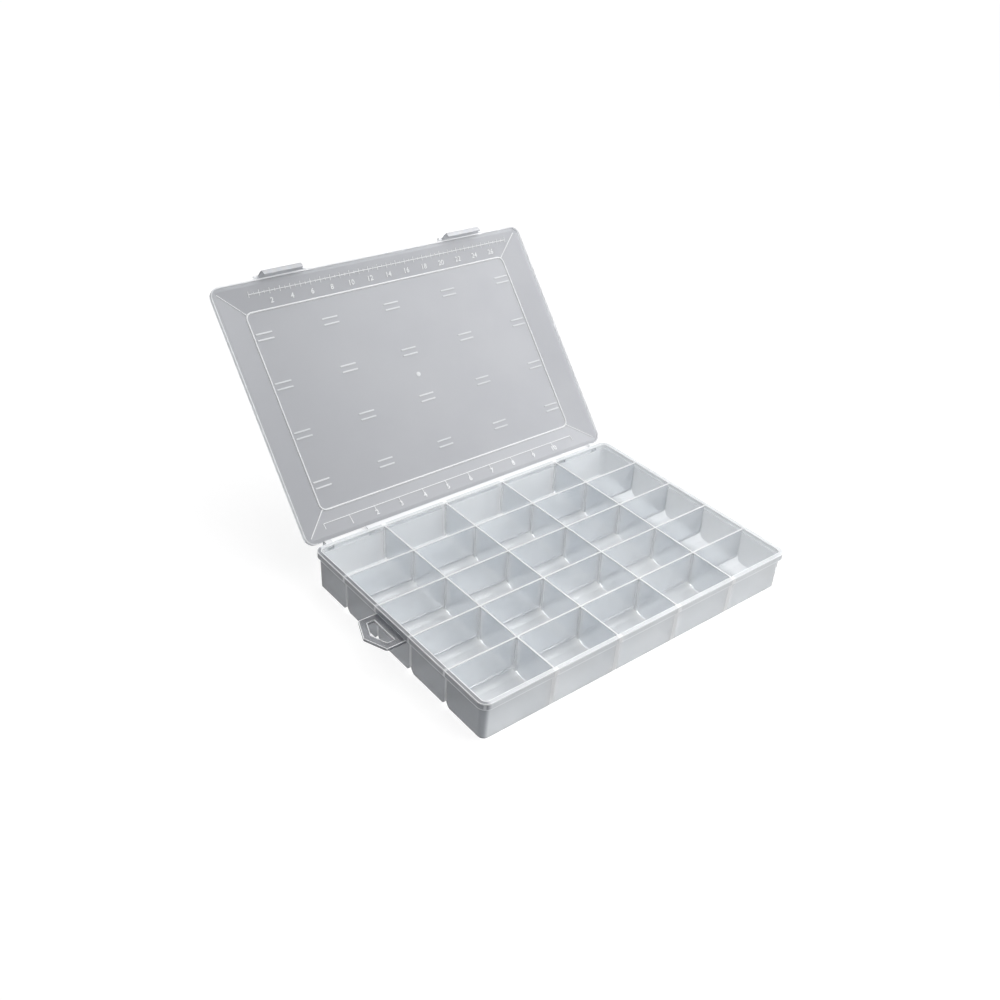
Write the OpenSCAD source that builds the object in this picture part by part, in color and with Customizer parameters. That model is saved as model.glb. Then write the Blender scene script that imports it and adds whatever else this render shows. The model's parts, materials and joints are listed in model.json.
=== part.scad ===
// Compartment tackle box: a moulded tray with five troughs, slide-in dividers,
// a hinged lid with two snap latches and a hang loop. The lid is drawn open.

/* [Box] */
// Length over the rim
box_l = 330; // [316:1:340]
// Depth over the rim
box_w = 228; // [222:1:236]
// Height from the underside to the top of the rim
box_h = 36; // [33:0.5:42]
// Radius of the upright outer corners at the rim
corner_r = 8; // [7:0.5:10]
// Thickness of the outer wall
wall_t = 1.6; // [1.4:0.1:1.8]
// Thickness of the floor
floor_t = 1.6; // [1.4:0.1:1.8]
// How far the walls lean in at the underside
wall_draft = 0.6; // [0.4:0.1:1]
// Size of the bevel round the underside
foot_edge = 0.8; // [0.6:0.1:0.9]

/* [Rim] */
// Height of the rim's outer face
rim_h = 5.5; // [5:0.1:6.5]
// How far the rim stands out from the wall
rim_out = 2.2; // [2:0.1:2.6]

/* [Compartments] */
// Spacing of the dividers along the length
pitch_x = 64.8; // [60:0.2:66]
// Spacing of the partitions from front to back
pitch_y = 45; // [43:0.2:46]
// Thickness of a partition at its top
partition_t = 1.2; // [1:0.1:1.6]
// Radius of the troughs' lower corners
trough_r = 8; // [7:0.1:8.5]
// Width at the top of the groove under a partition
groove_top = 0.8; // [0.6:0.1:1.2]
// How far the partitions and dividers stop below the rim top
partition_drop = 0.4; // [0.3:0.1:1]

/* [Dividers] */
// Thickness of a divider
divider_t = 1.2; // [1:0.1:1.5]
// Play of a divider in its slot and between the walls
divider_fit = 0.25; // [0.2:0.05:0.4]
// Width of the ribs on either side of a slot
rib_w = 1.2; // [1:0.1:1.6]
// How far the ribs stand out from the wall
rib_out = 1.6; // [1.2:0.1:2]
// How far the ribs stop below the partition tops
rib_drop = 1; // [0.5:0.1:3]

/* [Lid] */
// Thickness of the lid
lid_t = 1.5; // [1.3:0.1:1.8]
// Width of the flat border of the lid
lid_border = 4; // [3.8:0.1:5]
// Distance from the short edges to the centre panel
bevel_x = 26.6; // [20:0.1:32]
// Distance from the long edges to the centre panel
bevel_y = 25.6; // [20:0.1:32]
// Height of the centre panel above the border
panel_rise = 5.8; // [4:0.1:8]
// How far the lid's skirt hangs down outside the rim
skirt_h = 2; // [1.5:0.1:2.2]
// Thickness of the skirt
skirt_t = 1; // [0.9:0.1:1.4]
// Play between the skirt and the rim
skirt_fit = 0.3; // [0.3:0.05:0.5]
// How far the lid's edge passes the skirt
lid_lip = 0.1; // [0.1:0.05:0.3]
// Gap between the closed lid and the rim top
seat_gap = 0.2; // [0.1:0.05:0.3]
// Opening angle of the lid, at which it is drawn
lid_open = 131; // [100:1:131]

/* [Hinge] */
// Distance of the hinge axis behind the rim
hinge_back = 3.6; // [3.5:0.1:4]
// Distance of the hinge axis below the rim top
hinge_drop = 3.2; // [3.1:0.1:3.6]
// Radius of the knuckles
knuckle_r = 3; // [2.6:0.1:3]
// Radius of the pivots
pivot_r = 1.4; // [1.2:0.1:1.5]
// Radial play of the pivots
pivot_fit = 0.3; // [0.2:0.05:0.35]
// Length of a pivot
pivot_l = 5; // [4:0.5:5.5]
// End play of a pivot in its socket
pivot_end = 1; // [0.5:0.1:1.5]
// Distance of the hinge ears from the ends of the box
hinge_in = 12.7; // [12:0.1:36]
// Length of a lid knuckle
knuckle_l = 34; // [20:1:34]
// How far the knuckle's web stops short of its ends
web_in = 0.5; // [0.3:0.1:1]
// Length of the outer hinge ears
ear_l = 6; // [4:0.5:6]
// Gap along the axis between a knuckle and an ear
knuckle_gap = 0.3; // [0.2:0.05:0.5]
// Height of the heel that stops the open lid against the rim
heel_h = 2.9; // [2:0.1:2.9]
// Gap between that heel and the rim when the lid is open
heel_gap = 0.2; // [0.1:0.05:0.4]

/* [Latches] */
// Distance of the middle of a latch from the end of the box
latch_in = 67.6; // [55:0.2:105]
// Width of a latch at its pivot
latch_w = 43.5; // [30:0.5:50]
// How much each side of a latch tapers towards its tip
latch_taper = 1.6; // [0:0.1:3]
// Bevel of the two corners at a latch's tip
latch_bevel = 1.4; // [0.5:0.1:2]
// Thickness of a latch
latch_t = 1.6; // [1.4:0.1:1.6]
// Radius of a latch barrel
latch_r = 1.6; // [1.5:0.05:1.6]
// Height of the latch axis above the rim top
latch_rise = 1; // [0.8:0.1:1.2]
// Radius of a latch pin
latch_pin_r = 0.9; // [0.7:0.05:1]
// Length of a latch pin
latch_pin_l = 2.4; // [2:0.1:2.8]
// Radial play of a latch pin
latch_pin_fit = 0.25; // [0.2:0.05:0.3]
// Gap between a closed latch and the edge of the lid
latch_gap = 0.3; // [0.3:0.05:0.5]
// How far the hook reaches under the rim
hook_reach = 1.2; // [0.8:0.1:1.4]
// Height of the hook
hook_h = 1.4; // [1:0.1:2]
// Gap between the hook and the rim
hook_gap = 0.5; // [0.4:0.05:0.8]
// Angle at which the latches are drawn, from the latched position
latch_swing = 20; // [0:1:90]
// Width of the lugs beside a latch
lug_w = 3; // [3:0.1:4]
// Radius of the lugs
lug_r = 1.9; // [1.8:0.05:2.1]

/* [Hang loop] */
// Width of the loop at the rim
loop_w = 40; // [34:1:46]
// Length of the straight sides of the loop
loop_side = 17; // [12:0.5:20]
// Reach of the loop past the rim
loop_out = 25; // [22:0.5:30]
// Width of the loop's band
loop_band = 6.5; // [5:0.1:7]
// Thickness of the loop
loop_t = 2; // [1.6:0.1:3]
// Radius of the loop's outer corners
loop_r = 3; // [2:0.1:4]
// Radius of the corners of its hole
loop_hole_r = 1; // [0.6:0.1:1.5]

/* [Rulers] */
// Height of the raised lines
tick_h = 0.3; // [0.2:0.05:0.5]
// Width of the raised lines
tick_w = 0.6; // [0.4:0.1:0.8]
// Length of a tick
tick_l = 5; // [3:0.5:7]
// Spacing of the ticks on the front ruler
front_step = 10; // [5:0.1:20]
// Length of the front ruler
front_l = 280; // [200:1:285]
// Distance of the front ruler's zero left of the middle
front_zero = 132; // [120:1:140]
// Distance of the front ruler's base line from the lid edge
front_line = 10.9; // [9:0.1:14]
// Spacing of the ticks on the rear ruler
rear_step = 25.4; // [5:0.1:30]
// Length of the rear ruler
rear_l = 279.4; // [200:0.1:285]
// Distance of the rear ruler's zero left of the middle
rear_zero = 143.7; // [120:0.1:146]
// Distance of the rear ruler's base line from the lid edge
rear_line = 14.9; // [9:0.1:16]

/* [Hidden] */
$fn = 64;
rows = 5;
cols = 5;
function divider_name(r, c) = str("divider_r", r, "c", c);

clear_pp = [0.86, 0.88, 0.9, 0.6];
clear_lid = [0.8, 0.82, 0.85, 0.6];
// Overlap of solids that are moulded in one
eps = 0.3;
bite = 1;
// Length of a cutting shape past the face that it cuts
over = 1;
far = 2 * box_l;

// Centres of the corner arcs
cx = box_l / 2 - corner_r;
cy = box_w / 2 - corner_r;
// Radii of the wall profile about those centres
r_low = corner_r - rim_out;
r_low_in = r_low - wall_t;
r_foot = r_low - wall_draft;
r_foot_in = r_foot - wall_t;
z_step = box_h - rim_h;
z_part = box_h - partition_drop;

// Inner faces of the long outer walls at the underside and at the rim top
y_foot = cy + r_foot_in;
y_top = cy + r_low_in;
function y_wall(z) = y_foot + (y_top - y_foot) * z / box_h;

// Partitions
partition_foot = 2 * floor_t;
fillet_r = trough_r - floor_t + eps / 2;
groove_r = trough_r - groove_top / 2;
groove_z = groove_r - eps / 2;
groove_flat = groove_r / 4;
row_lines = [for (k = [1:rows - 1]) (k - rows / 2) * pitch_y];
col_lines = [for (k = [1:cols - 1]) (k - cols / 2) * pitch_x];
function half_wall(z) = partition_foot / 2
    + (partition_t - partition_foot) / 2 * (z - trough_r) / (z_part - trough_r);
rib_offset = divider_t / 2 + divider_fit + rib_w / 2;
z_rib = z_part - rib_drop;
divider_foot = floor_t + divider_fit;

// Lid, in its closed position; its edge passes the rim all round
lid_over = skirt_fit + skirt_t + lid_lip;
lid_hx = box_l / 2 + lid_over;
lid_hy = box_w / 2 + lid_over;
lid_z = box_h + seat_gap;
r_skirt = corner_r + skirt_fit;
slope_y = atan(panel_rise / (bevel_y - lid_border));

// Hinge axis, and the inner end of a lid knuckle
hinge_y = box_w / 2 + hinge_back;
hinge_z = box_h - hinge_drop;
knuckle_x = box_l / 2 - hinge_in - ear_l - knuckle_gap - knuckle_l;
socket_r = pivot_r + pivot_fit;
socket_l = pivot_l + pivot_end;

// Latch axis, in the closed position
latch_x = box_l / 2 - latch_in;
latch_y = -(lid_hy + latch_gap + latch_t);
latch_z = box_h + latch_rise;
hook_z = z_step - hook_gap;

// Places its children along a rounded rectangle; the 2D profile lies outward from the corner centres
module side_x(s, hx, hy) {
    rotate([0, 0, s > 0 ? 0 : 180])
        translate([hx, hy, 0])
            rotate([90, 0, 0])
                linear_extrude(2 * hy) children();
}

module side_y(s, hx, hy) {
    rotate([0, 0, s > 0 ? 90 : -90])
        translate([hy, hx, 0])
            rotate([90, 0, 0])
                linear_extrude(2 * hx) children();
}

module corner(sx, sy, hx, hy) {
    turn = sx > 0 ? (sy > 0 ? 0 : 270) : (sy > 0 ? 90 : 180);
    translate([sx * hx, sy * hy, 0])
        rotate([0, 0, turn])
            rotate_extrude(angle = 90) children();
}

module rounded_plate(hx, hy, r, t) {
    translate([-hx, -hy + r, 0]) cube([2 * hx, 2 * (hy - r), t]);
    translate([-hx + r, -hy, 0]) cube([2 * (hx - r), 2 * hy, t]);
    for (sx = [-1, 1], sy = [-1, 1])
        translate([sx * (hx - r), sy * (hy - r), 0]) cylinder(h = t, r = r);
}

// Extrudes a Y-Z outline along the length, centred on x
module along_x(x, l) {
    translate([x - l / 2, 0, 0])
        rotate([90, 0, 90])
            linear_extrude(l) children();
}

module bar_x(x0, l, y, z, r) {
    translate([x0, y, z]) rotate([0, 90, 0]) cylinder(h = l, r = r);
}

module wall_profile() {
    polygon([
        [r_foot_in, 0],
        [r_foot - foot_edge, 0],
        [r_foot, foot_edge],
        [r_low, z_step],
        [corner_r, z_step],
        [corner_r, box_h],
        [r_low_in, box_h]
    ]);
}

module outer_wall() {
    for (s = [-1, 1]) {
        side_x(s, cx, cy) wall_profile();
        side_y(s, cx, cy) wall_profile();
    }
    for (sx = [-1, 1], sy = [-1, 1])
        corner(sx, sy, cx, cy) wall_profile();
}

// One long partition with the rounded feet that run into the troughs' floors
module partition_outline() {
    polygon([
        [-partition_foot / 2, trough_r - eps],
        [partition_foot / 2, trough_r - eps],
        [partition_t / 2, z_part],
        [-partition_t / 2, z_part]
    ]);
    difference() {
        translate([-trough_r, 0]) square([2 * trough_r, trough_r]);
        for (s = [-1, 1])
            translate([s * trough_r, trough_r]) circle(r = fillet_r);
    }
}

// Groove under a partition, where two troughs meet
module groove_outline() {
    difference() {
        translate([-trough_r, -over]) square([2 * trough_r, groove_z + over]);
        for (m = [0, 1])
            mirror([m, 0]) {
                translate([trough_r, groove_z]) circle(r = groove_r);
                translate([trough_r - groove_flat, -2 * over]) square([2 * groove_flat, 3 * over]);
            }
    }
}

module rib_outline() {
    polygon([
        [-half_wall(trough_r) - rib_out, floor_t / 2],
        [half_wall(trough_r) + rib_out, floor_t / 2],
        [half_wall(z_rib) + rib_out, z_rib],
        [-half_wall(z_rib) - rib_out, z_rib]
    ]);
}

module end_rib_outline() {
    polygon([
        [y_foot - rib_out, floor_t / 2],
        [y_foot + eps, floor_t / 2],
        [y_wall(z_rib) + eps, z_rib],
        [y_wall(z_rib) - rib_out, z_rib]
    ]);
}

module slot_ribs() {
    for (x = col_lines, s = [-1, 1]) {
        for (y = row_lines)
            translate([0, y, 0]) along_x(x + s * rib_offset, rib_w) rib_outline();
        for (m = [0, 1])
            mirror([0, m, 0]) along_x(x + s * rib_offset, rib_w) end_rib_outline();
    }
}

// A stretch of hinge rail that stands behind the rim, with a pivot socket where it is asked for
module hinge_rail(x0, l, socket_x, socket_l) {
    difference() {
        union() {
            bar_x(x0, l, hinge_y, hinge_z, knuckle_r);
            translate([x0, box_w / 2 - wall_t / 2, hinge_z - knuckle_r])
                cube([l, hinge_back + wall_t / 2, 2 * knuckle_r]);
        }
        bar_x(socket_x, socket_l, hinge_y, hinge_z, socket_r);
    }
}

module hinge_rails() {
    rail_l = knuckle_x - knuckle_gap;
    ear_x = knuckle_x + knuckle_l + knuckle_gap;
    for (m = [0, 1])
        mirror([m, 0, 0]) {
            hinge_rail(0, rail_l, rail_l - socket_l, socket_l + over);
            hinge_rail(ear_x, ear_l, ear_x - over, ear_l + 2 * over);
        }
}

// Outline of a convex shape with rounded corners, points listed anticlockwise
function unit(v) = v / norm(v);
function normal_of(p, q) = [unit(q - p)[1], -unit(q - p)[0]];
function corner_centre(p, i, r) =
    let (
        n = len(p),
        a = normal_of(p[(i + n - 1) % n], p[i]),
        b = normal_of(p[i], p[(i + 1) % n])
    )
    p[i] - r * (a + b) / (1 + a * b);

module rounded_outline(p, r) {
    n = len(p);
    polygon([
        for (i = [0:n - 1])
            for (k = [0, 1])
                corner_centre(p, i, r)
                    + r * (k == 0 ? normal_of(p[(i + n - 1) % n], p[i]) : normal_of(p[i], p[(i + 1) % n]))
    ]);
    for (i = [0:n - 1])
        translate(corner_centre(p, i, r)) circle(r = r);
}

// House-shaped hang loop under the rim, drawn with x outward; its hole leaves a band of one width
module hang_loop() {
    half = loop_w / 2;
    root = rim_out + wall_t / 2;
    outline = [[0, -half], [loop_side, -half], [loop_out, 0], [loop_side, half], [0, half]];
    hole = [for (i = [0:len(outline) - 1]) corner_centre(outline, i, loop_band)];
    translate([-box_l / 2, 0, z_step + eps - loop_t])
        mirror([1, 0, 0])
            linear_extrude(loop_t)
                difference() {
                    union() {
                        rounded_outline(outline, loop_r);
                        translate([-root, -half]) square([root + loop_r, loop_w]);
                    }
                    rounded_outline(hole, loop_hole_r);
                }
}

module base_tray() {
    color(clear_pp)
        difference() {
            union() {
                outer_wall();
                rounded_plate(cx + r_foot_in + eps, cy + r_foot_in + eps, r_foot_in + eps, floor_t);
                for (y = row_lines)
                    translate([0, y, 0]) along_x(0, 2 * (cx + r_low_in) + eps) partition_outline();
                slot_ribs();
                hinge_rails();
                hang_loop();
            }
            for (y = row_lines)
                translate([0, y, 0]) along_x(0, far) groove_outline();
        }
}

// Dividers: row 1 is at the front, column 1 at the left
function divider_edge(line, side, z) =
    abs(line) == rows / 2 ? side * (y_wall(z) - divider_fit)
    : line * pitch_y - side * (half_wall(z) + divider_fit);

module divider(r, c) {
    front = r - 1 - rows / 2;
    back = r - rows / 2;
    y0 = divider_edge(front, -1, trough_r);
    y1 = divider_edge(back, 1, trough_r);
    turn = trough_r - divider_foot;
    bend = turn * (1 - cos(45));
    color(clear_pp)
        along_x(col_lines[c - 1], divider_t)
            polygon([
                [y0 + turn, divider_foot],
                [y1 - turn, divider_foot],
                [y1 - bend, divider_foot + bend],
                [y1, trough_r],
                [divider_edge(back, 1, z_part), z_part],
                [divider_edge(front, -1, z_part), z_part],
                [y0, trough_r],
                [y0 + bend, divider_foot + bend]
            ]);
}

// Turns the closed lid and what rides on it about the hinge
module opened() {
    translate([0, hinge_y, hinge_z])
        rotate([-lid_open, 0, 0])
            translate([0, -hinge_y, -hinge_z]) children();
}

// Four-sided mound with sloping faces
module mound(bx, by, tx, ty, z0, z1) {
    intersection() {
        along_x(0, far) polygon([[-by, z0], [by, z0], [ty, z1], [-ty, z1]]);
        translate([0, far / 2, 0])
            rotate([90, 0, 0])
                linear_extrude(far) polygon([[-bx, z0], [bx, z0], [tx, z1], [-tx, z1]]);
    }
}

module lid_shell() {
    bx = lid_hx - lid_border;
    by = lid_hy - lid_border;
    tx = lid_hx - bevel_x;
    ty = lid_hy - bevel_y;
    difference() {
        union() {
            translate([0, 0, lid_z]) rounded_plate(lid_hx, lid_hy, corner_r + lid_over, lid_t);
            mound(bx, by, tx, ty, lid_z + lid_t, lid_z + lid_t + panel_rise);
        }
        mound(bx, by, tx, ty, lid_z, lid_z + panel_rise);
    }
}

module skirt_profile() {
    translate([r_skirt, lid_z - skirt_h]) square([skirt_t, skirt_h + lid_t / 2]);
}

// Skirt on the front, the two ends and the corners; the hinge side stays free to swing
module lid_skirt() {
    for (s = [-1, 1]) {
        side_x(s, cx, cy) skirt_profile();
        for (t = [-1, 1]) corner(s, t, cx, cy) skirt_profile();
    }
    side_y(-1, cx, cy) skirt_profile();
}

// Knuckle with its pivots, the web that carries it and the heel that meets the rim when the lid is open
module lid_knuckle() {
    web_l = knuckle_l - 2 * web_in;
    translate([knuckle_x, 0, 0]) {
        bar_x(-pivot_l, knuckle_l + 2 * pivot_l, hinge_y, hinge_z, pivot_r);
        bar_x(0, knuckle_l, hinge_y, hinge_z, knuckle_r);
        translate([web_in, 0, 0]) {
            translate([0, lid_hy - bite, lid_z]) cube([web_l, hinge_y - lid_hy + bite + lid_t, lid_t]);
            translate([0, hinge_y - lid_t, hinge_z]) cube([web_l, 2 * lid_t, lid_z + lid_t - hinge_z]);
            translate([0, hinge_y, hinge_z])
                rotate([lid_open, 0, 0])
                    translate([0, heel_gap - hinge_back, -heel_h])
                        cube([web_l, hinge_back - heel_gap, heel_h]);
        }
    }
}

module latch_lugs() {
    for (s = [-1, 1])
        translate([s * (latch_w / 2 + knuckle_gap + lug_w / 2) - lug_w / 2, 0, 0])
            difference() {
                union() {
                    bar_x(0, lug_w, latch_y, latch_z, lug_r);
                    translate([0, latch_y, lid_z])
                        cube([lug_w, lid_border - lid_hy - latch_y, lid_t]);
                }
                bar_x(-over, lug_w + 2 * over, latch_y, latch_z, latch_pin_r + latch_pin_fit);
            }
}

// Ruler in relief on the inside of a bevel: a base line, and ticks whose middle lies shift nearer the panel
module ruler(s, zero, l, step, line, shift) {
    rise = panel_rise * (line - lid_border) / (bevel_y - lid_border);
    deep = tick_h + lid_t / 2;
    translate([-zero, s * (lid_hy - line), lid_z + rise])
        rotate([-s * slope_y, 0, 0])
            translate([-tick_w / 2, 0, -tick_h]) {
                translate([0, -tick_w / 2, 0]) cube([l + tick_w, tick_w, deep]);
                for (x = [0:step:l + eps])
                    translate([x, -s * shift - tick_l / 2, 0]) cube([tick_w, tick_l, deep]);
            }
}

module lid() {
    color(clear_lid)
        opened() {
            lid_shell();
            lid_skirt();
            for (m = [0, 1]) mirror([m, 0, 0]) lid_knuckle();
            for (s = [-1, 1]) translate([s * latch_x, 0, 0]) latch_lugs();
            ruler(-1, front_zero, front_l, front_step, front_line, 0);
            ruler(1, rear_zero, rear_l, rear_step, rear_line, -tick_l / 2);
        }
}

module latch(s) {
    tip = hook_z - hook_h;
    w = latch_w / 2;
    w_low = w - latch_taper;
    w_tip = w_low - latch_bevel;
    color(clear_lid)
        opened()
            translate([s * latch_x, latch_y, latch_z])
                rotate([-latch_swing, 0, 0])
                    translate([0, -latch_y, -latch_z]) {
                        bar_x(-w, latch_w, latch_y, latch_z, latch_r);
                        bar_x(-w - latch_pin_l, latch_w + 2 * latch_pin_l, latch_y, latch_z, latch_pin_r);
                        translate([0, latch_y + latch_t, 0])
                            rotate([90, 0, 0])
                                linear_extrude(latch_t)
                                    polygon([
                                        [-w_tip, tip],
                                        [w_tip, tip],
                                        [w_low, tip + latch_bevel],
                                        [w, latch_z],
                                        [-w, latch_z],
                                        [-w_low, tip + latch_bevel]
                                    ]);
                        translate([-w_tip, latch_y, tip])
                            cube([2 * w_tip, latch_t + latch_gap + lid_over + hook_reach, hook_h]);
                    }
}

module latch_left() {
    latch(-1);
}

module latch_right() {
    latch(1);
}

base_tray();
lid();
latch_left();
latch_right();
for (r = [1:rows], c = [1:cols - 1])
    divider(r, c);
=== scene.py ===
"""Looks of the compartment box: frosted plastic on its parts, and fine relief on the lid and hang loop."""

import json
import math

import bmesh
import bpy
from mathutils import Matrix, Vector


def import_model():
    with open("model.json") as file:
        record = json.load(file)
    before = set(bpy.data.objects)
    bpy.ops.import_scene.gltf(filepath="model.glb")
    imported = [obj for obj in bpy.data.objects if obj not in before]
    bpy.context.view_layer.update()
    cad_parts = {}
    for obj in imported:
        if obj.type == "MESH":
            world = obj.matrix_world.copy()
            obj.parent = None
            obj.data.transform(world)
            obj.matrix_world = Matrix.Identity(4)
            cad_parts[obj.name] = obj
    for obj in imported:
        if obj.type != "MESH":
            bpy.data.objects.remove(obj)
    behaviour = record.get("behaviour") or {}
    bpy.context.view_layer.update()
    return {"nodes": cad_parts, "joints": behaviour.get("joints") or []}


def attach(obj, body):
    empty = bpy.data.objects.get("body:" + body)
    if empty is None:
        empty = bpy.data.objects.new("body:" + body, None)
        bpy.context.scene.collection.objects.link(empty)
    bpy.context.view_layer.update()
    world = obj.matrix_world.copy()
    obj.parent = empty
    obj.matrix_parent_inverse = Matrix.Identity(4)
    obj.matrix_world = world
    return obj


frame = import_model()

MM = 0.001

# Camera, as the photograph was taken
CAMERA_AT = Vector((-0.5264, -0.5324, 0.5606))
AZIMUTH = math.radians(-40.915)
ELEVATION = math.radians(32.622)
ROLL = math.radians(4.051)
FOCAL_PIXELS = 1085.8
IMAGE_PIXELS = 1000
SENSOR = 36

# Closed lid, in mm: half sizes of the plate, its border and bevels, and heights of the inner faces
LID_X = 166.4
LID_Y = 115.4
BORDER = 4
BEVEL_X = 26.6
BEVEL_Y = 25.6
BORDER_Z = 36.2
PANEL_Z = 42.0
PANEL_X = LID_X - BEVEL_X
PANEL_Y = LID_Y - BEVEL_Y
SLOPE = math.atan2(PANEL_Z - BORDER_Z, BEVEL_Y - BORDER)

# Tray, in mm: centres of the corner arcs, radii of the wall and the rim about them, and the rim's lower edge
CORNER_X = 157
CORNER_Y = 106
WALL_IN_R = 4.2
WALL_OUT_R = 5.8
RIM_R = 8
RIM_STEP_Z = 30.5
# Spacing of dividers and partitions, and the height of their tops
PITCH_X = 64.8
PITCH_Y = 45
TOP_Z = 35.6

# Hang loop, in mm: half its width, length of its straight sides, reach, width of its band, and top
LOOP_HALF = 20
LOOP_SIDE = 17
LOOP_OUT = 25
LOOP_BAND = 6.5
LOOP_Z = 30.5
LOOP_BEAD_R = 0.5

# Relief on the lid, in mm; a mitre's bead covers a share of it, and stays clear of the border
EDGE_BEAD_R = 0.8
EDGE_BEAD_CORNER = 6
MITRE_BEAD_R = 0.5
MITRE_SHARE = 0.9
DASH_L = 16
DASH_W = 1.5
DASH_GAP = 5.5
GATE_R = 2.2
GATE_SIDES = 24
RELIEF_H = 0.35
SINK = 0.2
TICK_W = 0.7
TICK_L = 5.2
DIGIT_H = 6.5
DIGIT_DEPTH = 0.35
DIGIT_BOLD = 0.12

# Rulers, in mm: zero from the middle, spacing of the numbers, how many, and insets from the lid's edge
FRONT_ZERO = -132
FRONT_STEP = 20
FRONT_COUNT = 13
FRONT_LINE = 10.9
FRONT_DIGITS = 19.1
REAR_ZERO = -143.7
REAR_STEP = 25.4
REAR_COUNT = 10
REAR_LINE = 14.9
REAR_DIGITS = 8.7

# Plastics: two tints that it clouds between, and a darker one for painted shade
WALL_TINTS = ((0.82, 0.845, 0.87), (0.87, 0.89, 0.91), (0.25, 0.26, 0.28))
LID_TINTS = ((0.5, 0.51, 0.54), (0.54, 0.55, 0.575), (0.4, 0.41, 0.435))
FLAP_TINTS = ((0.68, 0.69, 0.715), (0.72, 0.73, 0.75), (0.6, 0.61, 0.635))
MARK_TINTS = ((0.68, 0.7, 0.72), (0.76, 0.77, 0.79), (0.6, 0.61, 0.63))
# Near-white relief: its own paler plastic, and on the beads also painted highlight along rounded edges
RELIEF_TINTS = ((0.84, 0.86, 0.88), (0.9, 0.91, 0.92), (0.8, 0.82, 0.84))
# White that the plastic turns to: painted edge glow and highlight, and random paler specks
GLOW_AND_SPECK_WHITE = (0.94, 0.95, 0.96)
# Share of the light that passes, the same at the whiter edges of painted glow and at specks, and the least
# roughness
WALL_FINISH = (0.8, 0.25, 0.17)
LID_FINISH = (0.5, 0.8, 0.3)
FLAP_FINISH = (0.5, 0.3, 0.3)
RELIEF_FINISH = (0.1, 0.1, 0.3)
ROUGH_SPREAD = 0.06
REFRACTION = 1.49
# Sizes of the clouds and the grain, in features per m, and the grain's height in m
CLOUD_SCALE = 16
GRAIN_SCALE = 320
GRAIN_HEIGHT = 0.0001
GRAIN_SHARE = 0.1

# Painted glow lines on the tray, in mm: width of a sharp change, depth of a top edge, and the lines on the rim
SHARP = 0.3
TOP_LINE = 0.6
INNER_LINE = 0.5
OUTER_LINE = 0.8
STEP_LINE = 0.3
STEP_FADE = 0.4
# Half widths of a slot's ribs and a partition's foot, reach of a divider's ends of painted glow, and the fade
# beside
RIB_SPAN = 2.1
PARTITION_SPAN = 1.2
DIVIDER_END = 3.2
HALO = 6
# How strong the painted glow and highlight are
OUTER_SHARE = 0.8
STEP_SHARE = 0.7
SLOT_SHARE = 0.7
HALO_SHARE = 0.6
FOOT_SHARE = 0.6
SKIRT_SHARE = 0.8
# How much of its light the outside of the walls still passes
OUTSIDE_CLEAR = 0.5

# Floor and light: size, drop and greys of the floor, its glow near and far, and how far those are, in m
WHITE = (1, 1, 1, 1)
FLOOR_HALF = 8
FLOOR_DROP = 0.0003
FLOOR_GREY = (0.2, 0.2, 0.2, 1)
# Grey of the floor under the box, without glow: painted shadow
SHADOW_PLATE_GREY = (0.55, 0.55, 0.55, 1)
SHADOW_GREY = (0.3, 0.3, 0.3, 1)
GLOW = 0.8
FAR_GLOW = 0.95
GLOW_NEAR = 0.5
GLOW_FAR = 1.6
AMBIENT = 0.2
BACKDROP = 1.0
# Half sizes of the floor that the box covers with painted shadow, and the width over which its glow fades, in
# m
COVERED = (0.15, 0.1)
FADE = 0.012
# Lamps: place, target and size in m, and power in W
LAMPS = {
    "key": ((0.66, -0.99, 0.66), (0, 0, 0.05), 1.4, 9),
    "top": ((0.5, 0.15, 1.25), (0, 0.05, 0), 1.8, 20),
}
BOUNCES = 24

hinge = next(j for j in frame["joints"] if j["name"] == "lid_hinge")
pivot = Matrix.Translation(Vector(hinge["pos_m"]))
turned = Matrix.Rotation(math.radians(-hinge["range_deg"][0]), 4, Vector(hinge["axis"]))
opening = pivot @ turned @ pivot.inverted()
# Takes a point of the closed lid, in mm, to its place on the open lid
OPENED = opening @ Matrix.Scale(MM, 4)


# Frames on the inside of the lid


def local_frame(origin, right, up):
    """Matrix with its X axis along right, Y along up and Z out of the surface."""
    out = right.cross(up)
    rows = Matrix((right, up, out)).transposed().to_4x4()
    return Matrix.Translation(origin) @ rows


def panel_at(x, y):
    """Frame on the inside of the lid's panel, upright for someone who looks into the open box."""
    return local_frame(Vector((x, y, PANEL_Z)), Vector((1, 0, 0)), Vector((0, -1, 0)))


def bevel_at(side, x, inset):
    """Frame on the inside of the front (-1) or rear (1) bevel, inset from the lid's edge."""
    rise = (inset - BORDER) * math.tan(SLOPE)
    up = Vector((0, -math.cos(SLOPE), side * math.sin(SLOPE)))
    return local_frame(Vector((x, side * (LID_Y - inset), BORDER_Z + rise)), Vector((1, 0, 0)), up)


# Shader nodes


def node(tree, kind, **inputs):
    made = tree.nodes.new(kind)
    for key, value in inputs.items():
        made.inputs[key.replace("_", " ")].default_value = value
    return made


def noise(tree, where, scale, detail):
    made = node(tree, "ShaderNodeTexNoise", Scale=scale, Detail=detail, Roughness=0.5)
    tree.links.new(where, made.inputs["Vector"])
    return made.outputs["Fac"]


def ramp(tree, value, low, high, to_low, to_high, smooth=True):
    """Maps a value from low..high to to_low..to_high."""
    made = tree.nodes.new("ShaderNodeMapRange")
    made.interpolation_type = "SMOOTHSTEP" if smooth else "LINEAR"
    tree.links.new(value, made.inputs["Value"])
    for key, number in (("From Min", low), ("From Max", high), ("To Min", to_low), ("To Max", to_high)):
        made.inputs[key].default_value = number
    return made.outputs["Result"]


def rising(tree, value, start, end, share=1):
    """0 up to start and share from end on, both in mm."""
    return ramp(tree, value, start * MM, end * MM, 0, share)


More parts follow.
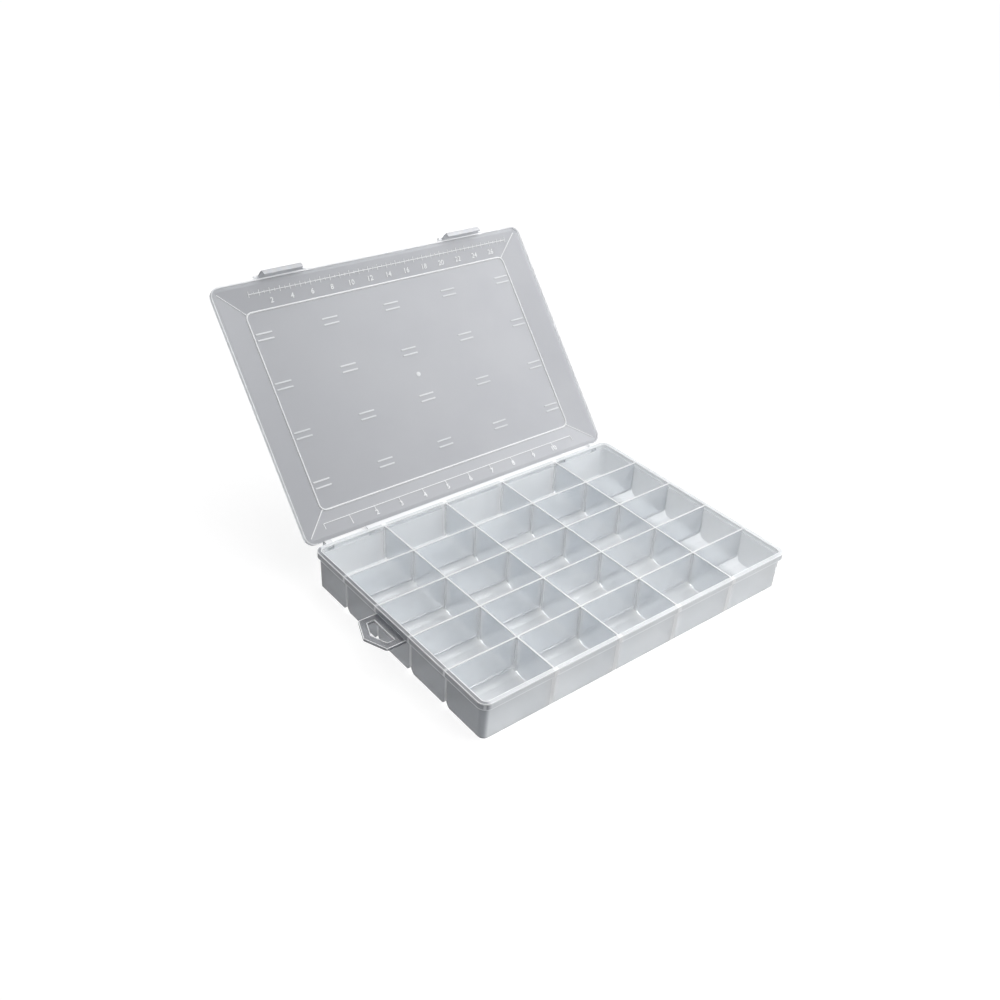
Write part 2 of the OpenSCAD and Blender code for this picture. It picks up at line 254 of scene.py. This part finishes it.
def falling(tree, value, start, end, share=1):
    """Share up to start and 0 from end on, both in mm."""
    return ramp(tree, value, start * MM, end * MM, share, 0)


def combine(tree, operation, a, b):
    made = tree.nodes.new("ShaderNodeMath")
    made.operation = operation
    for socket, value in zip(made.inputs, (a, b)):
        if isinstance(value, (int, float)):
            socket.default_value = value
        else:
            tree.links.new(value, socket)
    return made.outputs["Value"]


def product(tree, a, b):
    return combine(tree, "MULTIPLY", a, b)


def larger(tree, a, b):
    return combine(tree, "MAXIMUM", a, b)


def absolute(tree, value):
    return combine(tree, "ABSOLUTE", value, 0)


def constant(tree, value):
    made = tree.nodes.new("ShaderNodeValue").outputs[0]
    made.default_value = value
    return made


def axis_of(tree, where, axis):
    split = tree.nodes.new("ShaderNodeSeparateXYZ")
    tree.links.new(where, split.inputs["Vector"])
    return split.outputs[axis]


def blended(tree, factor, a, b):
    """Colour between a and b by a factor."""
    made = tree.nodes.new("ShaderNodeMix")
    made.data_type = "RGBA"
    tree.links.new(factor, made.inputs["Factor"])
    for socket, value in ((made.inputs["A"], a), (made.inputs["B"], b)):
        if isinstance(value, tuple):
            socket.default_value = (*value, 1)
        else:
            tree.links.new(value, socket)
    return made.outputs["Result"]


def mixed(tree, factor, a, b):
    """Shader between a and b by a factor."""
    made = tree.nodes.new("ShaderNodeMixShader")
    tree.links.new(factor, made.inputs["Fac"])
    tree.links.new(a, made.inputs[1])
    tree.links.new(b, made.inputs[2])
    return made.outputs["Shader"]


# Where the plastic is paler, darker or clearer


def everywhere(tree, where):
    return constant(tree, 1)


def nowhere(tree, where):
    return constant(tree, 0)


def dense_specks(tree, where):
    """Speckle that makes the relief a little uneven."""
    return ramp(tree, noise(tree, where, 500, 2), 0.3, 0.8, 0.6, 1)


def faint_specks(tree, where):
    """Speckle of a few paler spots."""
    return ramp(tree, noise(tree, where, 60, 2), 0.5, 0.9, 0, 0.3)


def top_edge_glow(tree, where):
    """Painted edge glow on the tops of the partitions and dividers, and on what else stands as high."""
    start = TOP_Z - TOP_LINE
    return rising(tree, axis_of(tree, where, "Z"), start, start + SHARP)


def wall_radius(tree, where):
    """Distance from the rectangle through the centres of the tray's corner arcs."""
    squares = []
    for axis, middle in (("X", CORNER_X), ("Y", CORNER_Y)):
        past = combine(tree, "SUBTRACT", absolute(tree, axis_of(tree, where, axis)), middle * MM)
        past = larger(tree, past, 0)
        squares.append(product(tree, past, past))
    return combine(tree, "SQRT", combine(tree, "ADD", *squares), 0)


def near_lines(tree, value, pitch, width, fade=SHARP):
    """1 within width of the lines that lie half a pitch off the middle, and every pitch from there."""
    shifted = combine(tree, "ADD", value, pitch / 2 * MM)
    off = combine(tree, "PINGPONG", shifted, pitch / 2 * MM)
    return falling(tree, off, width - SHARP, width + fade)


def with_halo(tree, value, pitch, width):
    """The same lines, with a weaker and wider fade beside them."""
    halo = product(tree, near_lines(tree, value, pitch, width, HALO), HALO_SHARE)
    return larger(tree, near_lines(tree, value, pitch, width), halo)


def off_ends(tree, where):
    """1 on all but the last columns of cells."""
    return falling(tree, absolute(tree, axis_of(tree, where, "X")), 1.8 * PITCH_X, 2 * PITCH_X)


def on_outside(tree, where):
    """1 on the outer faces of the walls, and on the rim and the hang loop."""
    return rising(tree, wall_radius(tree, where), WALL_OUT_R - 0.9, WALL_OUT_R - 0.7)


def on_loop(tree, where):
    end = CORNER_X + RIM_R
    return falling(tree, axis_of(tree, where, "X"), -end - SHARP, -end)


def tray_edge_glow(tree, where):
    """Painted glow: tops of the partitions, both edges of the rim's top and its lower edge, and the slots'
    outside.
    """
    r = wall_radius(tree, where)
    outside = on_outside(tree, where)
    inner = falling(tree, r, WALL_IN_R + INNER_LINE, WALL_IN_R + INNER_LINE + SHARP)
    outer = rising(tree, r, RIM_R - OUTER_LINE, RIM_R - OUTER_LINE + SHARP, OUTER_SHARE)
    tops = product(tree, top_edge_glow(tree, where), larger(tree, inner, outer))
    off_step = absolute(tree, combine(tree, "SUBTRACT", axis_of(tree, where, "Z"), RIM_STEP_Z * MM))
    step = falling(tree, off_step, STEP_LINE, STEP_LINE + STEP_FADE, STEP_SHARE)
    off_loop = falling(tree, r, RIM_R + 0.1, RIM_R + 0.2)
    step = product(tree, step, product(tree, outside, off_loop))
    slots = product(tree, near_lines(tree, axis_of(tree, where, "X"), PITCH_X, RIB_SPAN), SLOT_SHARE)
    slots = product(tree, slots, product(tree, off_ends(tree, where), outside))
    return larger(tree, tops, larger(tree, step, slots))


def tray_rib_glow(tree, where):
    """Painted glow: whiter slot ribs with the plastic round them, and the ends of the partitions on the end
    walls.
    """
    x = axis_of(tree, where, "X")
    ribs = product(tree, with_halo(tree, x, PITCH_X, RIB_SPAN), off_ends(tree, where))
    start = CORNER_X + WALL_IN_R + 0.1
    end_wall = rising(tree, absolute(tree, x), start, start + SHARP, FOOT_SHARE)
    feet = near_lines(tree, axis_of(tree, where, "Y"), PITCH_Y, PARTITION_SPAN)
    return larger(tree, ribs, product(tree, feet, end_wall))


def tray_painted_shade(tree, where):
    """Painted shade: the hang loop, and the outside of the end wall that carries it, darker as the box's
    shaded side.
    """
    end = falling(tree, axis_of(tree, where, "X"), -CORNER_X - WALL_IN_R, -CORNER_X)
    return larger(tree, on_loop(tree, where), product(tree, end, on_outside(tree, where)))


def tray_clearness(tree, where):
    """The outside of the walls is matt, the hang loop and the inside are clearer."""
    outside = ramp(tree, on_outside(tree, where), 0, 1, 1, OUTSIDE_CLEAR)
    return larger(tree, outside, on_loop(tree, where))


def divider_end_glow(tree, where):
    """Painted glow: the two ends that stand in the slots, with the plastic beside them."""
    return with_halo(tree, axis_of(tree, where, "Y"), PITCH_Y, DIVIDER_END)


def lid_painted_shade(tree, where):
    """Painted shade that grows from the right end to the left."""
    return ramp(tree, axis_of(tree, where, "X"), -LID_X * MM, LID_X * MM, 1, 0, False)


def lid_edge_glow(tree, where):
    """Painted edge glow: outer edge of the lid, and the skirt and knuckles under it, found in its closed
    position.
    """
    closing = opening.inverted()
    mapped = tree.nodes.new("ShaderNodeMapping")
    mapped.inputs["Location"].default_value = closing.to_translation()
    mapped.inputs["Rotation"].default_value = closing.to_euler()
    tree.links.new(where, mapped.inputs["Vector"])
    closed = mapped.outputs["Vector"]
    ends = rising(tree, absolute(tree, axis_of(tree, closed, "X")), LID_X - 0.9, LID_X - 0.4)
    sides = rising(tree, absolute(tree, axis_of(tree, closed, "Y")), LID_Y - 0.9, LID_Y - 0.4)
    below = falling(tree, axis_of(tree, closed, "Z"), BORDER_Z - 0.3, BORDER_Z - 0.05, SKIRT_SHARE)
    return larger(tree, larger(tree, ends, sides), below)


# Plastics


def frosted(name, tints, finish, edges, painted_glow=nowhere, painted_shade=nowhere, clearness=everywhere):
    """Translucent moulded plastic with a cloudy tint and a fine grain.

    The first mask says where it turns whiter and passes the edges' share of light: painted edge glow and
    highlight on the tray, dividers and lid, random specks on the other parts. The second says where it is only
    whiter, by painted glow; the third where it takes the darker tint, as painted shade; and clearness scales
    how much light passes.
    """
    clear, edge_clear, rough = finish
    made = bpy.data.materials.new(name)
    made.use_nodes = True
    tree = made.node_tree
    shader = tree.nodes["Principled BSDF"]
    where = tree.nodes.new("ShaderNodeTexCoord").outputs["Object"]
    cloud = ramp(tree, noise(tree, where, CLOUD_SCALE, 3), 0.3, 0.7, 0, 1)
    grain = noise(tree, where, GRAIN_SCALE, 2)
    edge = edges(tree, where)
    # Painted shade: the darker third tint where the shade mask says
    body = blended(tree, painted_shade(tree, where), blended(tree, cloud, *tints[:2]), tints[2])
    # Whiter by painted edge glow and highlight on the tray, dividers and lid, by random specks on the other
    # parts
    white = larger(tree, edge, painted_glow(tree, where))
    tree.links.new(blended(tree, white, body, GLOW_AND_SPECK_WHITE), shader.inputs["Base Color"])
    passes = product(tree, ramp(tree, edge, 0, 1, clear, edge_clear, False), clearness(tree, where))
    tree.links.new(passes, shader.inputs["Transmission Weight"])
    tree.links.new(ramp(tree, grain, 0.3, 0.7, rough, rough + ROUGH_SPREAD), shader.inputs["Roughness"])
    shader.inputs["IOR"].default_value = REFRACTION
    relief = node(tree, "ShaderNodeBump", Strength=GRAIN_SHARE, Distance=GRAIN_HEIGHT)
    tree.links.new(grain, relief.inputs["Height"])
    tree.links.new(relief.outputs["Normal"], shader.inputs["Normal"])
    through = node(tree, "ShaderNodeBsdfTransparent", Color=WHITE).outputs[0]
    shadow = tree.nodes.new("ShaderNodeLightPath").outputs["Is Shadow Ray"]
    surface = mixed(tree, product(tree, shadow, passes), shader.outputs[0], through)
    tree.links.new(surface, tree.nodes["Material Output"].inputs["Surface"])
    return made


TRAY = frosted("tray_plastic", WALL_TINTS, WALL_FINISH, tray_edge_glow, tray_rib_glow, tray_painted_shade, tray_clearness)
DIVIDER = frosted("divider_plastic", WALL_TINTS, WALL_FINISH, top_edge_glow, divider_end_glow)
LID = frosted("lid_plastic", LID_TINTS, LID_FINISH, lid_edge_glow, painted_shade=lid_painted_shade)
FLAP = frosted("latch_plastic", FLAP_TINTS, FLAP_FINISH, faint_specks, painted_shade=lid_painted_shade)
RELIEF = frosted("relief_plastic", RELIEF_TINTS, RELIEF_FINISH, dense_specks)
MARK = frosted("mark_plastic", MARK_TINTS, RELIEF_FINISH, faint_specks)


# Shapes of the relief


def new_piece(name, shape, body, material):
    """Turns a bmesh into a named piece that rides a body."""
    mesh = bpy.data.meshes.new(name)
    bmesh.ops.recalc_face_normals(shape, faces=shape.faces)
    shape.to_mesh(mesh)
    shape.free()
    made = bpy.data.objects.new(name, mesh)
    bpy.context.scene.collection.objects.link(made)
    made.data.materials.clear()
    made.data.materials.append(material)
    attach(made, body)


def rings(shape, loops, closed):
    """Skins a list of vertex loops; closed joins the last loop to the first, else both ends are capped."""
    made = [[shape.verts.new(p) for p in loop] for loop in loops]
    pairs = list(zip(made, made[1:]))
    if closed:
        pairs.append((made[-1], made[0]))
    for a, b in pairs:
        for i in range(len(a)):
            j = (i + 1) % len(a)
            shape.faces.new((a[i], a[j], b[j], b[i]))
    if not closed:
        shape.faces.new(made[0])
        shape.faces.new(made[-1])


def bead(shape, path, radius, closed, to_world, sides=8):
    """Round bead along a path of points in mm, which to_world places."""
    count = len(path)
    turn = [math.tau * k / sides for k in range(sides)]
    loops = []
    for i, p in enumerate(path):
        before = path[(i - 1) % count] if closed or i else p
        after = path[(i + 1) % count] if closed or i < count - 1 else p
        along = (after - before).normalized()
        across = along.cross(Vector((0, 0, 1))).normalized()
        over = across.cross(along)
        loops.append([to_world @ (p + radius * (math.cos(t) * across + math.sin(t) * over)) for t in turn])
    rings(shape, loops, closed)


def rounded_rectangle(x, y, r, z, steps=6):
    centres = [(x - r, y - r), (r - x, y - r), (r - x, r - y), (x - r, r - y)]
    points = []
    for k, (cx, cy) in enumerate(centres):
        for i in range(steps + 1):
            a = math.pi / 2 * (k + i / steps)
            points.append(Vector((cx + r * math.cos(a), cy + r * math.sin(a), z)))
    return points


def capsule(length, width, steps=5):
    r = width / 2
    points = []
    for side in (1, -1):
        for i in range(steps + 1):
            a = -math.pi / 2 + math.pi * i / steps
            points.append((side * (length / 2 - r + r * math.cos(a)), side * r * math.sin(a)))
    return points


def circle(radius, sides):
    turn = [math.tau * k / sides for k in range(sides)]
    return [(radius * math.cos(t), radius * math.sin(t)) for t in turn]


def inset_corner(points, i, inset):
    """Corner i of a convex outline that runs round to the left, moved in by inset."""
    before, here, after = (Vector(points[(i + k) % len(points)]) for k in (-1, 0, 1))
    first = (here - before).normalized()
    second = (after - here).normalized()
    inward = (first.orthogonal() + second.orthogonal()) / (1 + first.dot(second))
    return here + inset * inward


def raised(shape, at, outline):
    """Low pad on the surface at a frame: its outline, in mm, narrows a little towards the top."""
    levels = ((-SINK, 1), (0.6 * RELIEF_H, 1), (RELIEF_H, 0.8))
    middle = sum((Vector(p) for p in outline), Vector((0, 0))) / len(outline)
    narrow = min(max(p[k] for p in outline) - min(p[k] for p in outline) for k in (0, 1)) / 2
    loops = []
    for z, keep in levels:
        inset = narrow * (1 - keep)
        loop = []
        for p in outline:
            away = Vector(p) - middle
            step = Vector([math.copysign(min(inset, abs(v)), v) for v in away])
            loop.append(OPENED @ at @ Vector((*(Vector(p) - step), z)))
        loops.append(loop)
    rings(shape, loops, False)


def line(shape, side, x, inset, width, height):
    """Straight raised line on a bevel, in mm: across it for a tick, along it for a base line."""
    w = width / 2
    h = height / 2
    raised(shape, bevel_at(side, x, inset), [(-w, -h), (w, -h), (w, h), (-w, h)])


def digits(side, zero, step, inset, words):
    """The numbers along a ruler, standing on the bevel, the first one step from zero."""
    shape = bmesh.new()
    for k, word in enumerate(words):
        curve = bpy.data.curves.new("digits", "FONT")
        curve.body = word
        curve.size = DIGIT_H
        curve.extrude = DIGIT_DEPTH
        curve.align_x = "CENTER"
        curve.align_y = "CENTER"
        curve.resolution_u = 3
        curve.offset = DIGIT_BOLD
        text = bpy.data.objects.new("digits", curve)
        bpy.context.scene.collection.objects.link(text)
        bpy.context.view_layer.update()
        flat = bpy.data.meshes.new_from_object(text.evaluated_get(bpy.context.evaluated_depsgraph_get()))
        flat.transform(OPENED @ bevel_at(side, zero + step * (k + 1), inset))
        shape.from_mesh(flat)
        bpy.data.objects.remove(text)
        bpy.data.meshes.remove(flat)
    return shape


# Pieces


def panel_lines():
    """Bead round the panel, and beads along the mitres of the bevels; their near-white plastic is partly
    painted highlight.
    """
    shape = bmesh.new()
    bead(shape, rounded_rectangle(PANEL_X, PANEL_Y, EDGE_BEAD_CORNER, PANEL_Z), EDGE_BEAD_R, True, OPENED)
    inner = EDGE_BEAD_CORNER * (1 - math.sqrt(0.5))
    for sx in (-1, 1):
        for sy in (-1, 1):
            start = Vector((sx * (PANEL_X - inner), sy * (PANEL_Y - inner), PANEL_Z))
            crease = Vector((sx * PANEL_X, sy * PANEL_Y, PANEL_Z))
            end = Vector((sx * (LID_X - BORDER), sy * (LID_Y - BORDER), BORDER_Z))
            bead(shape, [start, crease, crease.lerp(end, MITRE_SHARE)], MITRE_BEAD_R, False, OPENED)
    new_piece("lid_panel_lines", shape, "lid", RELIEF)


def loop_lines():
    """Rounded edges of the hang loop: along its outline, and round its hole; their near-white plastic is
    partly painted highlight.
    """
    half = [(0, LOOP_HALF), (LOOP_SIDE, LOOP_HALF)]
    outline = [(x, -y) for x, y in half] + [(LOOP_OUT, 0)] + half[::-1]
    end = -CORNER_X - RIM_R
    shape = bmesh.new()
    for inset, closed in ((LOOP_BEAD_R, False), (LOOP_BAND - LOOP_BEAD_R, True)):
        path = [inset_corner(outline, i, inset) for i in range(len(outline))]
        path = [Vector((end - p.x, p.y, LOOP_Z)) for p in path]
        if not closed:
            path[0].x = path[-1].x = end
        bead(shape, path, LOOP_BEAD_R, closed, Matrix.Scale(MM, 4))
    new_piece("hang_loop_edges", shape, "base", RELIEF)


def panel_marks():
    """Pairs of plain dashes over the compartments, and the round gate mark in the middle."""
    shape = bmesh.new()
    for i in range(-2, 3):
        for j in (-1.5, -0.5, 0.5, 1.5):
            for k in (-0.5, 0.5):
                at = panel_at(i * PITCH_X, j * PITCH_Y) @ Matrix.Translation((0, k * DASH_GAP, 0))
                raised(shape, at, capsule(DASH_L, DASH_W))
    raised(shape, panel_at(0, 0), circle(GATE_R, GATE_SIDES))
    new_piece("lid_panel_marks", shape, "lid", MARK)


def rulers():
    """Numbers of the two rulers, and their ticks and base lines."""
    words = [str(2 * k + 2) for k in range(FRONT_COUNT)]
    front = digits(-1, FRONT_ZERO, FRONT_STEP, FRONT_DIGITS, words)
    new_piece("lid_front_numbers", front, "lid", RELIEF)
    words = [str(k + 1) for k in range(REAR_COUNT)]
    rear = digits(1, REAR_ZERO, REAR_STEP, REAR_DIGITS, words)
    new_piece("lid_rear_numbers", rear, "lid", RELIEF)
    shape = bmesh.new()
    for k in range(4 * (FRONT_COUNT + 1) + 1):
        height = TICK_L if k % 2 == 0 else TICK_L / 2
        line(shape, -1, FRONT_ZERO + FRONT_STEP / 4 * k, FRONT_LINE, TICK_W, height)
    length = FRONT_STEP * (FRONT_COUNT + 1)
    line(shape, -1, FRONT_ZERO + length / 2, FRONT_LINE, length, TICK_W)
    for k in range(REAR_COUNT + 2):
        line(shape, 1, REAR_ZERO + REAR_STEP * k, REAR_LINE - TICK_L / 2, TICK_W, TICK_L)
    length = REAR_STEP * (REAR_COUNT + 1)
    line(shape, 1, REAR_ZERO + length / 2, REAR_LINE, length, TICK_W)
    new_piece("lid_ruler_lines", shape, "lid", RELIEF)


for name, part in frame["nodes"].items():
    material = {"base_tray": TRAY, "lid": LID}.get(name, FLAP if name.startswith("latch") else DIVIDER)
    part.data.materials.clear()
    part.data.materials.append(material)

panel_lines()
loop_lines()
panel_marks()
rulers()


# Floor, light and camera


def seen_directly(tree):
    """1 for rays from the camera, and for what gloss and clear plastic show."""
    path = tree.nodes.new("ShaderNodeLightPath").outputs
    both = larger(tree, path["Is Camera Ray"], path["Is Glossy Ray"])
    return larger(tree, both, path["Is Transmission Ray"])


def floor():
    """White to the eye, grey to the light that it throws back, and grey of painted shadow where the box stands
    on it.
    """
    mesh = bpy.data.meshes.new("floor")
    corners = [(x, y, -FLOOR_DROP) for x, y in ((-1, -1), (1, -1), (1, 1), (-1, 1))]
    mesh.from_pydata([(FLOOR_HALF * x, FLOOR_HALF * y, z) for x, y, z in corners], [], [(0, 1, 2, 3)])
    made = bpy.data.objects.new("floor", mesh)
    bpy.context.scene.collection.objects.link(made)
    paint = bpy.data.materials.new("floor_white")
    paint.use_nodes = True
    tree = paint.node_tree
    tree.nodes.clear()
    greys = (FLOOR_GREY, SHADOW_PLATE_GREY, SHADOW_GREY)
    lit, under, shade = (node(tree, "ShaderNodeBsdfDiffuse", Color=grey).outputs[0] for grey in greys)
    where = tree.nodes.new("ShaderNodeTexCoord").outputs["Object"]
    away = tree.nodes.new("ShaderNodeVectorMath")
    away.operation = "LENGTH"
    tree.links.new(where, away.inputs[0])
    glow = node(tree, "ShaderNodeEmission", Color=WHITE)
    strength = ramp(tree, away.outputs["Value"], GLOW_NEAR, GLOW_FAR, GLOW, FAR_GLOW)
    tree.links.new(strength, glow.inputs["Strength"])
    both = tree.nodes.new("ShaderNodeAddShader")
    tree.links.new(shade, both.inputs[0])
    tree.links.new(glow.outputs[0], both.inputs[1])
    clear = [
        ramp(tree, absolute(tree, axis_of(tree, where, axis)), half - FADE, half, 0, 1)
        for axis, half in zip("XY", COVERED)
    ]
    bare = mixed(tree, seen_directly(tree), lit, both.outputs[0])
    out = tree.nodes.new("ShaderNodeOutputMaterial")
    # Under the box the floor has no glow: a grey patch of painted shadow, seen through the plastic
    tree.links.new(mixed(tree, larger(tree, *clear), under, bare), out.inputs["Surface"])
    mesh.materials.append(paint)


def world():
    """Dim light from all round, and a white backdrop to the eye."""
    made = bpy.data.worlds.new("studio")
    bpy.context.scene.world = made
    made.use_nodes = True
    tree = made.node_tree
    tree.nodes.clear()
    ambient = node(tree, "ShaderNodeBackground", Color=WHITE, Strength=AMBIENT).outputs[0]
    backdrop = node(tree, "ShaderNodeBackground", Color=WHITE, Strength=BACKDROP).outputs[0]
    out = tree.nodes.new("ShaderNodeOutputWorld")
    tree.links.new(mixed(tree, seen_directly(tree), ambient, backdrop), out.inputs["Surface"])


def lamp(name, at, target, size, power):
    data = bpy.data.lights.new(name, "AREA")
    data.shape = "DISK"
    data.size = size
    data.energy = power
    made = bpy.data.objects.new(name, data)
    made.location = at
    made.rotation_euler = (Vector(target) - Vector(at)).to_track_quat("-Z", "Y").to_euler()
    bpy.context.scene.collection.objects.link(made)


def camera():
    data = bpy.data.cameras.new("camera")
    data.sensor_width = SENSOR
    data.lens = FOCAL_PIXELS * SENSOR / IMAGE_PIXELS
    data.clip_start = 0.01
    made = bpy.data.objects.new("camera", data)
    flat = math.cos(ELEVATION)
    back = Vector((math.sin(AZIMUTH) * flat, -math.cos(AZIMUTH) * flat, math.sin(ELEVATION)))
    right = Vector((math.cos(AZIMUTH), math.sin(AZIMUTH), 0))
    level = Matrix((right, back.cross(right), back)).transposed()
    made.matrix_world = Matrix.Translation(CAMERA_AT) @ (level @ Matrix.Rotation(ROLL, 3, "Z")).to_4x4()
    bpy.context.scene.collection.objects.link(made)
    bpy.context.scene.camera = made


floor()
world()
for name, settings in LAMPS.items():
    lamp(name, *settings)
camera()

scene = bpy.context.scene
scene.view_settings.view_transform = "Standard"
scene.cycles.max_bounces = BOUNCES
scene.cycles.transmission_bounces = BOUNCES
scene.cycles.use_denoising = True
